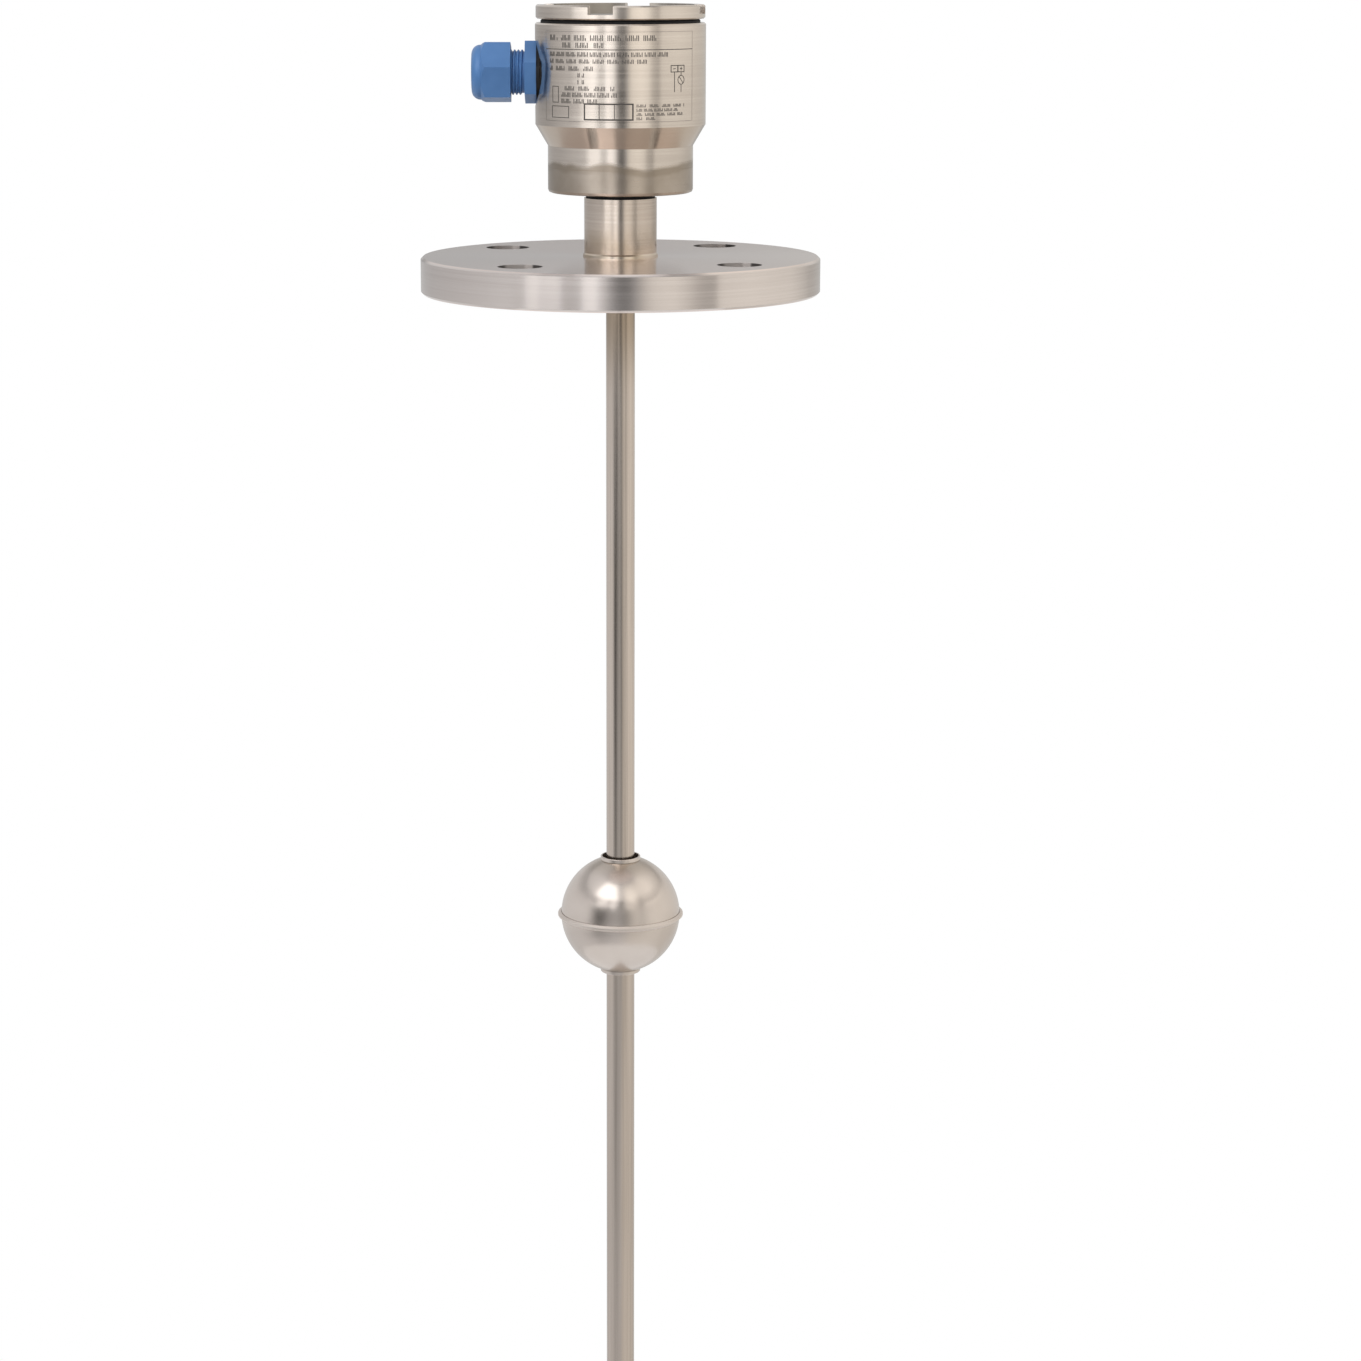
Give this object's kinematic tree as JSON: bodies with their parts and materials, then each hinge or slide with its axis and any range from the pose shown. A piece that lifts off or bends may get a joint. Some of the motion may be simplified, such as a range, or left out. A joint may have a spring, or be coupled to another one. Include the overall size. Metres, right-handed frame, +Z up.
{
  "type": "reed level transmitter",
  "caption": "Float level sensor: a flanged stainless guide tube with a reed chain inside and a sliding ball float, under a turned head with a screw cover and a blue cable gland.",
  "frame": {"origin": "centre of the flange's sealing face, on the axis of the guide tube", "axes": "+Z up the guide tube to the head, -Y is the front, the cable gland points to -X"},
  "size_m": [0.165, 0.165, 0.9201],
  "materials": {
    "turned_steel": "fine turned stainless steel, faint lathe lines",
    "flange_steel": "turned stainless steel, satin",
    "tube_steel": "drawn stainless tube, fine lengthwise lines",
    "float_steel": "drawn stainless shell, satin",
    "plated_steel": "bright plated steel",
    "blue_polyamide": "moulded polyamide, slight gloss",
    "black_rubber": "matt black rubber",
    "magnet": "dark sintered ferrite",
    "module_resin": "dark moulded housing filled with resin",
    "brass": "plain brass",
    "board": "green circuit board",
    "reed_glass": "clear greenish glass",
    "resistor": "black chip",
    "lead": "red wire insulation"
  },
  "bodies": {
    "root": {"flange": "flange_steel", "guide_tube": "tube_steel", "tube_end_plug": "tube_steel", "stop_collar": "turned_steel", "stop_collar_screw": "plated_steel", "neck_tube": "turned_steel", "neck_seal": "black_rubber", "neck_lock_nut": "plated_steel", "housing": "turned_steel", "gland_gasket": "black_rubber", "gland_body": "blue_polyamide", "mounting_plate": "plated_steel", "mounting_screws": "plated_steel", "earth_clamp": "plated_steel", "earth_screw": "brass", "transmitter": "module_resin", "transmitter_screws": "plated_steel", "terminal_clamps": "brass", "terminal_screws": "plated_steel", "reed_board": "board", "reed_switches": "reed_glass", "chain_resistors": "resistor", "chain_leads": "lead"},
    "float": {"float_upper_shell": "float_steel", "float_lower_shell": "float_steel", "float_inner_tube": "float_steel", "float_magnet": "magnet", "magnet_retainers": "plated_steel"},
    "cover_seal": {"cover_o_ring": "black_rubber"},
    "cover": {"cover": "turned_steel"},
    "gland_seal": {"gland_insert": "black_rubber"},
    "gland_nut": {"gland_dome_nut": "blue_polyamide"}
  },
  "joints": [
    {"name": "float_travel", "type": "slide", "parent": "root", "child": "float", "axis": [0, 0, 1], "range_m": [-0.4903, 0.2375]},
    {"name": "cover_lift", "type": "slide", "parent": "root", "child": "cover_seal", "axis": [0, 0, 1], "range_m": [0, 0.009]},
    {"name": "cover_turn", "type": "hinge", "parent": "cover_seal", "child": "cover", "pos_m": [0, 0, 0.1145], "axis": [0, 0, 1], "range_deg": [0, 2160]},
    {"name": "gland_nut_travel", "type": "slide", "parent": "root", "child": "gland_seal", "axis": [-1, 0, 0], "range_m": [-0.003, 0.0045]},
    {"name": "gland_nut_turn", "type": "hinge", "parent": "gland_seal", "child": "gland_nut", "pos_m": [-0.053, 0, 0.09285], "axis": [-1, 0, 0], "range_deg": [-720, 1080]}
  ],
  "couplings": [
    {"joint": "cover_lift", "follows": "cover_turn", "m_per_rad": 0.00023873},
    {"joint": "gland_nut_travel", "follows": "gland_nut_turn", "m_per_rad": 0.00023873}
  ]
}
